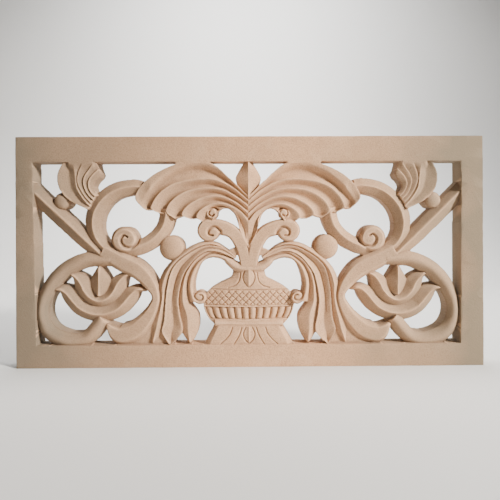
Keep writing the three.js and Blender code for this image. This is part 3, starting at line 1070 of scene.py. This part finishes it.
class Tracer:
    """Turns a relief into one closed mesh: the carved face, the sawn back and every wall between them."""

    def __init__(self, relief: Relief) -> None:
        """Numbers the relief's nodes and tells which are stone.

        Args:
            relief: The relief to trace.
        """
        self.relief = relief
        self.node = np.arange(relief.x.size).reshape(relief.x.shape)
        self.inside = relief.stone.ravel() >= 0.5

    def crossings(self, first: np.ndarray, second: np.ndarray) -> np.ndarray:
        """Finds where the outline crosses grid edges.

        Args:
            first: The node at one end of each edge.
            second: The node at its other end.

        Returns:
            The places of the crossings, as x, depth and z.
        """
        stone = self.relief.stone.ravel()
        share = (0.5 - stone[first]) / (stone[second] - stone[first])
        grids = [grid.ravel() for grid in (self.relief.x, self.relief.depth, self.relief.z)]
        return np.column_stack([grid[first] + (grid[second] - grid[first]) * share for grid in grids])

    def face(self) -> tuple[np.ndarray, list[np.ndarray]]:
        """Traces the carved face, cell by cell.

        Returns:
            The points, and the polygons as one array for each outline that a cell can have.
        """
        node = self.node
        grids = (self.relief.x, self.relief.depth, self.relief.z)
        places = [np.column_stack([grid.ravel() for grid in grids])]
        count = node.size
        numbered = []
        for first, second in ((node[:, :-1], node[:, 1:]), (node[:-1, :], node[1:, :])):
            crossed = self.inside[first] != self.inside[second]
            ids = np.full(first.shape, -1)
            ids[crossed] = count + np.arange(crossed.sum())
            count += int(crossed.sum())
            places.append(self.crossings(first[crossed], second[crossed]))
            numbered.append(ids)
        across, upward = numbered
        corners = [node[:-1, :-1], node[:-1, 1:], node[1:, 1:], node[1:, :-1]]
        sides = [across[:-1, :], upward[:, 1:], across[1:, :], upward[:, :-1]]
        return np.vstack(places), self.cells(corners, sides)

    def cells(self, corners: list[np.ndarray], sides: list[np.ndarray]) -> list[np.ndarray]:
        """Makes the polygons of every cell that holds stone.

        Args:
            corners: The points at the cells' four corners.
            sides: The crossings on the cells' four sides.

        Returns:
            The polygons, as one array for each outline that a cell can have.
        """
        kinds = sum(self.inside[corner].astype(int) << i for i, corner in enumerate(corners))
        faces: list[np.ndarray] = []
        for kind in range(1, 16):
            chosen = kinds == kind
            if not chosen.any():
                continue
            for outline in self.outlines(kind):
                ring = [(corners if what == "corner" else sides)[i][chosen] for what, i in outline]
                faces.append(np.column_stack(ring))
        return faces

    @staticmethod
    def outlines(kind: int) -> list[list[tuple[str, int]]]:
        """Lists the polygons of one kind of cell.

        Args:
            kind: A number with a bit for each corner that is stone.

        Returns:
            The polygons, each as the corners and sides that it passes through.
        """
        held = [bool(kind >> i & 1) for i in range(4)]
        if kind in (5, 10):
            return [[("side", (i + 3) % 4), ("corner", i), ("side", i)] for i in range(4) if held[i]]
        ring: list[tuple[str, int]] = []
        for i in range(4):
            if held[i]:
                ring.append(("corner", i))
            if held[i] != held[(i + 1) % 4]:
                ring.append(("side", i))
        return [ring]

    def solid(self) -> tuple[np.ndarray, list[np.ndarray]]:
        """Closes the face with the sawn back and the walls of every piercing.

        Returns:
            The points in millimetres, and the polygons.
        """
        places, faces = self.face()
        used = np.unique(np.concatenate([face.ravel() for face in faces]))
        order = np.full(len(places), -1)
        order[used] = np.arange(len(used))
        faces = [order[face] for face in faces]
        front = places[used]
        size = len(front)
        starts = np.concatenate([face.ravel() for face in faces])
        ends = np.concatenate([np.roll(face, -1, axis=1).ravel() for face in faces])
        rim = ~np.isin(starts * size + ends, ends * size + starts)
        first, second = starts[rim], ends[rim]
        walls = np.column_stack([second, first, first + size, second + size])
        back = front.copy()
        back[:, 1] = self.relief.drawing.thickness
        points = np.vstack([front, back])
        points[:, 1] += self.relief.drawing.low[1]
        return points, [*faces, *[face[:, ::-1] + size for face in faces], walls]

    def mesh(self, name: str) -> bpy.types.Object:
        """Builds the traced solid.

        Args:
            name: The object's name.

        Returns:
            The object, in metres.
        """
        points, polygons = self.solid()
        loops = np.concatenate([face.ravel() for face in polygons]).astype(np.int32)
        sizes = np.concatenate([np.full(len(face), face.shape[1]) for face in polygons])
        mesh = bpy.data.meshes.new(name)
        mesh.vertices.add(len(points))
        mesh.vertices.foreach_set("co", (points * MM).astype(np.float32).ravel())
        mesh.loops.add(len(loops))
        mesh.loops.foreach_set("vertex_index", loops)
        mesh.polygons.add(len(sizes))
        mesh.polygons.foreach_set("loop_start", np.concatenate([[0], np.cumsum(sizes)[:-1]]).astype(np.int32))
        mesh.update(calc_edges=True)
        mesh.validate()
        piece = bpy.data.objects.new(name, mesh)
        bpy.context.scene.collection.objects.link(piece)
        return piece


@dataclass
class JaliScreen:
    """The whole screen: one slab with its frame and its pierced carving.

    Args:
        drawing: Where the drawing lies on the slab.
        pitch: The relief's grid spacing in millimetres.
        name: The piece's name.
        sharp_deg: The angle from which an edge stays sharp.
        motifs: What is carved, from the corners to the middle.
    """

    drawing: Drawing
    pitch: float
    name: str = "sandstone_screen"
    sharp_deg: float = 32.0
    motifs: tuple[Motif, ...] = (
        ScrollWork(), LowerRing(), Lotus(), CornerFlower(), Frond(), Arm(), DroopingLeaves(), Bud(), Pot(),
        Scribble(),
    )

    def build(self) -> bpy.types.Object:
        """Carves the slab.

        Returns:
            The finished object, dressed in its stone.
        """
        relief = self.carved()
        piece = Tracer(relief).mesh(self.name)
        self.lighten(piece)
        self.dress(piece, relief)
        return piece

    def carved(self) -> Relief:
        """Carves every motif on the halves where it belongs.

        Returns:
            The finished relief.
        """
        carver = Carver(self.drawing)
        for motif in self.motifs:
            for side in motif.sides:
                motif.carve(carver, side)
        LOG.info("drew %d members and %d grooves", carver.members, len(carver.grooves))
        relief = Relief(self.drawing, self.pitch)
        relief.cast(carver)
        relief.cut(carver)
        out, up = self.drawing.drawn(relief.x, relief.z)
        for motif in self.motifs:
            relief.depth = motif.finish(out, up, relief.depth)
        relief.soften()
        return relief

    def lighten(self, piece: bpy.types.Object) -> None:
        """Takes out the triangles that the flat stretches don't need.

        Args:
            piece: The traced object.
        """
        triangles = sum(len(polygon.vertices) - 2 for polygon in piece.data.polygons)
        thin = piece.modifiers.new("thin", "DECIMATE")
        thin.ratio = min(1.0, TRIANGLE_LIMIT / triangles)
        thin.use_collapse_triangulate = True
        view = bpy.context.evaluated_depsgraph_get()
        mesh = bpy.data.meshes.new_from_object(piece.evaluated_get(view))
        piece.modifiers.clear()
        piece.data = mesh
        mesh.set_sharp_from_angle(angle=math.radians(self.sharp_deg))
        LOG.info("traced %d triangles, kept %d", triangles, len(mesh.polygons))

    def dress(self, piece: bpy.types.Object, relief: Relief) -> None:
        """Gives the screen its stone, with painted shade in the hollows and a painted highlight on the
        crests.

        Args:
            piece: The finished object.
            relief: The relief that it was traced from.
        """
        places = np.empty(len(piece.data.vertices) * 3, np.float32)
        piece.data.vertices.foreach_get("co", places)
        # How sunken each point lies, which the stone paints as shade in the hollows and as a highlight on the
        # crests.
        cavity = piece.data.attributes.new("cavity", "FLOAT", "POINT")
        cavity.data.foreach_set("value", relief.hollows(places.reshape(-1, 3)).astype(np.float32))
        piece.data.materials.append(Sandstone().material())


class Value:
    """A shader socket that takes part in Python expressions."""

    def __init__(self, graph: "Graph", socket: bpy.types.NodeSocket) -> None:
        """Wraps a socket of the graph."""
        self.graph = graph
        self.socket = socket

    def __add__(self, other: "Value | float") -> "Value":
        """Adds."""
        return self.graph.maths("ADD", self, other)

    def __radd__(self, other: float) -> "Value":
        """Adds, from the right."""
        return self.graph.maths("ADD", other, self)

    def __mul__(self, other: "Value | float") -> "Value":
        """Multiplies."""
        return self.graph.maths("MULTIPLY", self, other)

    def __rmul__(self, other: float) -> "Value":
        """Multiplies, from the right."""
        return self.graph.maths("MULTIPLY", other, self)

    def __sub__(self, other: "Value | float") -> "Value":
        """Subtracts."""
        return self.graph.maths("SUBTRACT", self, other)

    def __rsub__(self, other: float) -> "Value":
        """Subtracts from a number."""
        return self.graph.maths("SUBTRACT", other, self)

    def __truediv__(self, other: "Value | float") -> "Value":
        """Divides."""
        return self.graph.maths("DIVIDE", self, other)

    def __rtruediv__(self, other: float) -> "Value":
        """Divides a number."""
        return self.graph.maths("DIVIDE", other, self)

    def __neg__(self) -> "Value":
        """Turns the sign."""
        return self * -1.0

    def clamped(self) -> "Value":
        """Holds the value between 0 and 1."""
        return self.graph.maths("ADD", self, 0.0, clamp=True)


@dataclass(frozen=True)
class Ramp:
    """A ramp from 0 at low to its share at high, held at its ends."""

    low: float
    high: float
    share: float

    def on(self, value: Value) -> Value:
        """Runs the ramp over a value."""
        return ((value - self.low) / (self.high - self.low)).clamped() * self.share


class Graph:
    """Builds a material's nodes."""

    def __init__(self, name: str) -> None:
        """Starts a material with one Principled BSDF.

        Args:
            name: The material's name.
        """
        self.material = bpy.data.materials.new(name)
        self.material.use_nodes = True
        self.tree = self.material.node_tree
        self.shader = self.tree.nodes["Principled BSDF"]

    def node(self, kind: str, settings: dict[str, object], inputs: dict[int | str, object],
             output: int | str = 0) -> Value:
        """Adds a node.

        Args:
            kind: The node's type.
            settings: Its properties, set first.
            inputs: Its sockets' values or links, by name or number.
            output: The socket to read, by name or number.

        Returns:
            The output.
        """
        node = self.tree.nodes.new(kind)
        for key, value in settings.items():
            setattr(node, key, value)
        for key, value in inputs.items():
            self.feed(node.inputs[key], value)
        return Value(self, node.outputs[output])

    def feed(self, socket: bpy.types.NodeSocket, value: object) -> None:
        """Links or sets an input.

        Args:
            socket: The input.
            value: A Value to link or a constant to set.
        """
        if isinstance(value, Value):
            self.tree.links.new(value.socket, socket)
        else:
            socket.default_value = value

    def maths(self, operation: str, first: object, second: object, clamp: bool = False) -> Value:
        """Adds a Math node for two operands."""
        settings = {"operation": operation, "use_clamp": clamp}
        return self.node("ShaderNodeMath", settings, {0: first, 1: second})

    def mix(self, share: Value, first: object, second: object) -> Value:
        """Mixes two colours, by the share of the second."""
        return self.node("ShaderNodeMix", {"data_type": "RGBA"}, {0: share, 6: first, 7: second}, output=2)

    def noise(self, place: Value, scale: float, detail: float = 4.0, roughness: float = 0.55) -> Value:
        """Adds noise over a place."""
        return self.node("ShaderNodeTexNoise", {}, {
            "Vector": place, "Scale": scale, "Detail": detail, "Roughness": roughness})

    def attribute(self, name: str) -> Value:
        """Reads a value that the mesh carries."""
        return self.node("ShaderNodeAttribute", {"attribute_name": name}, {}, output="Fac")


Colour = tuple[float, float, float, float]


@dataclass(frozen=True)
class Sandstone:
    """Rubbed pinkish beige sandstone, a little browner to the left and greyer to the right, and darker
    towards both sides as painted shade.

    Args:
        pink: The stone's own colour.
        pale: Its pale grains, and the painted highlight on the crests.
        dusk: Its dark grains, and the painted shade in its hollows and deeper in the slab.
        brown: What it turns to in clouds and towards the left; towards the left it is also painted shade.
        grey: What it turns to towards the right, where it is also painted shade.
        cloud_scale: The scale of the broad clouds.
        blotch_scale: The scale of the blotches.
        grain_scale: The scale of the grain.
        pitting_scale: The scale of the pitting between the grains.
        wander: How far the clouds move the tints along the slab.
        grain_share: How much of the bump is grain.
        pitting_share: How much of it is pitting.
        blotch_share: How much of it is blotches.
        bump_height: The height of the bump in metres.
    """

    pink: Colour = (0.62, 0.345, 0.185, 1.0)
    pale: Colour = (0.73, 0.46, 0.28, 1.0)
    dusk: Colour = (0.20, 0.125, 0.078, 1.0)
    brown: Colour = (0.162, 0.132, 0.092, 1.0)
    grey: Colour = (0.195, 0.160, 0.108, 1.0)
    cloud_scale: float = 5.0
    blotch_scale: float = 22.0
    grain_scale: float = 330.0
    pitting_scale: float = 260.0
    wander: float = 0.5
    blotch: Ramp = Ramp(0.48, 0.70, 0.42)
    cloud: Ramp = Ramp(0.60, 0.40, 0.22)
    # Painted shade: the stone turns darker deeper into the slab, down the walls of the piercings.
    painted_depth_shade: Ramp = Ramp(-0.012, 0.02, 0.25)
    pale_grain: Ramp = Ramp(0.40, 0.75, 0.62)
    dark_grain: Ramp = Ramp(0.50, 0.25, 0.55)
    # Browner to the left and greyer to the right: partly the stone's tone, partly painted shade that darkens
    # both sides against the middle.
    leftward_tone_and_shade: Ramp = Ramp(0.05, 0.62, 0.9016)
    rightward_tone_and_shade: Ramp = Ramp(0.16, 0.60, 0.9016)
    # Painted shade in the hollows, from how sunken each point lies.
    sunken: Ramp = Ramp(0.08, 0.90, 0.50)
    # Painted highlight on the crests, from how far each point stands out.
    rubbed: Ramp = Ramp(0.10, 0.70, 0.50)
    roughness: float = 0.9
    specular: float = 0.25
    grain_share: float = 0.6
    pitting_share: float = 0.7
    blotch_share: float = 0.5
    bump_strength: float = 0.55
    bump_height: float = 0.0014

    def material(self) -> bpy.types.Material:
        """Makes the stone.

        Returns:
            The material.
        """
        graph = Graph("sandstone")
        place = graph.node("ShaderNodeTexCoord", {}, {}, output="Object")
        clouds = graph.noise(place, self.cloud_scale)
        blotches = graph.noise(place, self.blotch_scale, 5.0, 0.6)
        grain = graph.noise(place, self.grain_scale, 3.0, 0.7)
        colour = self.painted_shade_and_highlight(graph, self.tinted(graph, place, clouds, blotches, grain))
        graph.feed(graph.shader.inputs["Base Color"], colour)
        graph.feed(graph.shader.inputs["Roughness"], self.roughness)
        graph.feed(graph.shader.inputs["Specular IOR Level"], self.specular)
        pitting = graph.noise(place, self.pitting_scale, 3.0)
        height = grain * self.grain_share + pitting * self.pitting_share + blotches * self.blotch_share
        bump = graph.node("ShaderNodeBump", {}, {
            "Height": height, "Strength": self.bump_strength, "Distance": self.bump_height})
        graph.feed(graph.shader.inputs["Normal"], bump)
        return graph.material

    def tinted(self, graph: Graph, place: Value, clouds: Value, blotches: Value, grain: Value) -> Value:
        """Colours the stone with its blotches and grain, darkens it deeper into the slab as painted shade,
        and tints it along the slab, partly as painted shade towards both sides.

        Args:
            graph: The material's nodes.
            place: The point on the slab.
            clouds: The broad noise.
            blotches: The middling noise.
            grain: The fine noise.

        Returns:
            The colour.
        """
        x, y = (graph.node("ShaderNodeSeparateXYZ", {}, {0: place}, output=axis) for axis in ("X", "Y"))
        drift = (clouds - 0.5) * self.wander
        colour = graph.mix(self.blotch.on(blotches), self.pink, self.pale)
        colour = graph.mix(self.cloud.on(clouds), colour, self.brown)
        # Painted shade, darker deeper into the slab.
        colour = graph.mix(self.painted_depth_shade.on(y), colour, self.dusk)
        colour = graph.mix(self.pale_grain.on(grain), colour, self.pale)
        colour = graph.mix(self.dark_grain.on(grain), colour, self.dusk)
        # Browner and greyer towards the sides: partly tone, partly painted shade.
        colour = graph.mix(self.leftward_tone_and_shade.on(drift - x), colour, self.brown)
        return graph.mix(self.rightward_tone_and_shade.on(drift + x), colour, self.grey)

    def painted_shade_and_highlight(self, graph: Graph, colour: Value) -> Value:
        """Paints shade into the hollows and a highlight onto the crests.

        Args:
            graph: The material's nodes.
            colour: The stone's colour.

        Returns:
            The colour with its painted shade and highlight.
        """
        cavity = graph.attribute("cavity")
        # Painted shade in the hollows, then a painted highlight on the crests.
        colour = graph.mix(self.sunken.on(cavity), colour, self.dusk)
        return graph.mix(self.rubbed.on(-cavity), colour, self.pale)


@dataclass(frozen=True)
class Lamp:
    """A soft square lamp.

    Args:
        name: The lamp's name.
        place: Where it hangs.
        aim: The point that it faces.
        size: The length of its sides in metres.
        watts: Its power.
        colour: The colour of its light.
        spread_deg: How widely it shines.
    """

    name: str
    place: tuple[float, float, float]
    aim: tuple[float, float, float]
    size: float
    watts: float
    colour: tuple[float, float, float] = (1.0, 1.0, 1.0)
    spread_deg: float = 180.0

    def hang(self) -> None:
        """Adds the lamp to the scene."""
        data = bpy.data.lights.new(self.name, "AREA")
        data.shape = "SQUARE"
        data.size = self.size
        data.energy = self.watts
        data.color = self.colour
        data.spread = math.radians(self.spread_deg)
        lamp = bpy.data.objects.new(self.name, data)
        bpy.context.scene.collection.objects.link(lamp)
        lamp.location = self.place
        lamp.rotation_euler = (Vector(self.aim) - Vector(self.place)).to_track_quat("-Z", "Y").to_euler()


@dataclass
class Studio:
    """The camera of the photograph, a plain pale floor and soft light from the right.

    Args:
        pixel: What a pixel of the photograph spans on the screen's face, in metres.
        distance_px: The camera's distance from the face, in pixels.
        image_px: The photograph's width and height.
        foot_px: Where the camera's axis would meet the face, in the photograph.
        centre_px: Where the screen's middle is, in the photograph.
        roll_deg: How far the camera is rolled.
        yaw_deg: How far it is turned to the side.
        sensor_mm: The width of its sensor.
        key: The main lamp, from the right and above.
        fill: A weak lamp from the left.
        backdrop: A lamp behind the screen, for the sweep of the floor.
    """

    pixel: float = 2.609 * MM
    distance_px: float = 425.0
    image_px: float = 500.0
    foot_px: tuple[float, float] = (248.0, 223.0)
    centre_px: tuple[float, float] = (250.4, 251.6)
    roll_deg: float = 0.275
    yaw_deg: float = -0.48
    sensor_mm: float = 36.0
    key: Lamp = Lamp("key", (4.3, -2.6, 2.7), (0.0, 0.0, 0.32), 0.7, 96.0, (1.0, 0.97, 0.92), 60.0)
    fill: Lamp = Lamp("fill", (-1.6, -3.4, 1.2), (0.0, 0.0, 0.3), 2.5, 4.0, (0.95, 0.97, 1.0))
    backdrop: Lamp = Lamp("backdrop", (0.0, 0.6, 3.4), (0.0, 2.4, 0.5), 1.5, 125.0, spread_deg=110.0)
    sky_colour: Colour = (0.93, 0.92, 0.90, 1.0)
    sky_strength: float = 0.07
    floor_colour: Colour = (0.74, 0.73, 0.71, 1.0)
    floor_roughness: float = 0.9
    floor_reach: float = 14.0
    sweep_start: float = 1.3
    sweep_radius: float = 1.2
    sweep_height: float = 9.0

    def camera(self, low: Vector, high: Vector) -> None:
        """Places the camera.

        Args:
            low: The object's lowest corner.
            high: The object's highest corner.
        """
        data = bpy.data.cameras.new("camera")
        camera = bpy.data.objects.new("camera", data)
        bpy.context.scene.collection.objects.link(camera)
        aside = (self.foot_px[0] - self.centre_px[0]) * self.pixel
        above = (self.centre_px[1] - self.foot_px[1]) * self.pixel
        middle = (low + high) / 2
        camera.location = (middle.x + aside, low.y - self.distance_px * self.pixel, middle.z + above)
        camera.rotation_euler = (math.pi / 2, math.radians(self.roll_deg), math.radians(self.yaw_deg))
        data.sensor_width = self.sensor_mm
        data.lens = self.sensor_mm * self.distance_px / self.image_px
        half = self.image_px / 2
        turned_px = self.distance_px * math.tan(math.radians(self.yaw_deg))
        data.shift_x = (half - self.foot_px[0] + turned_px) / self.image_px
        data.shift_y = (self.foot_px[1] - half) / self.image_px
        bpy.context.scene.camera = camera

    def light(self) -> None:
        """Hangs the lamps and dims the sky."""
        for lamp in (self.key, self.fill, self.backdrop):
            lamp.hang()
        world = bpy.data.worlds.new("studio")
        world.use_nodes = True
        background = world.node_tree.nodes["Background"]
        background.inputs["Color"].default_value = self.sky_colour
        background.inputs["Strength"].default_value = self.sky_strength
        bpy.context.scene.world = world

    def floor(self) -> None:
        """Lays the pale floor that the object stands on, swept up behind it into a backdrop."""
        reach, radius = self.floor_reach, self.sweep_radius
        turns = [math.radians(angle) for angle in range(0, 91, 5)]
        start = self.sweep_start
        sweep = [(start + radius * math.sin(turn), radius * (1 - math.cos(turn))) for turn in turns]
        line = [(-reach, 0.0), *sweep, (start + radius, self.sweep_height)]
        mesh = bpy.data.meshes.new("floor")
        mesh.from_pydata([(x, y, z) for y, z in line for x in (-reach, reach)], [],
                         [(2 * i, 2 * i + 1, 2 * i + 3, 2 * i + 2) for i in range(len(line) - 1)])
        mesh.polygons.foreach_set("use_smooth", [True] * len(mesh.polygons))
        floor = bpy.data.objects.new("floor", mesh)
        bpy.context.scene.collection.objects.link(floor)
        graph = Graph("floor")
        graph.feed(graph.shader.inputs["Base Color"], self.floor_colour)
        graph.feed(graph.shader.inputs["Roughness"], self.floor_roughness)
        mesh.materials.append(graph.material)


def main() -> None:
    """Builds the screen around its frame, attaches it to the root body and stages it."""
    logging.basicConfig(level=logging.INFO, format="%(name)s: %(message)s")
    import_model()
    low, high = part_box("jali_screen")
    corners = [tuple(float(value) / MM for value in corner) for corner in (low, high)]
    screen = JaliScreen(Drawing(*corners), pitch=FINE_PITCH).build()
    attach(screen, "root")
    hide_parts("jali_screen")
    LOG.info("%s has %d points", screen.name, len(screen.data.vertices))
    studio = Studio()
    studio.camera(Vector(low), Vector(high))
    studio.light()
    studio.floor()


if __name__ == "__main__":
    main()
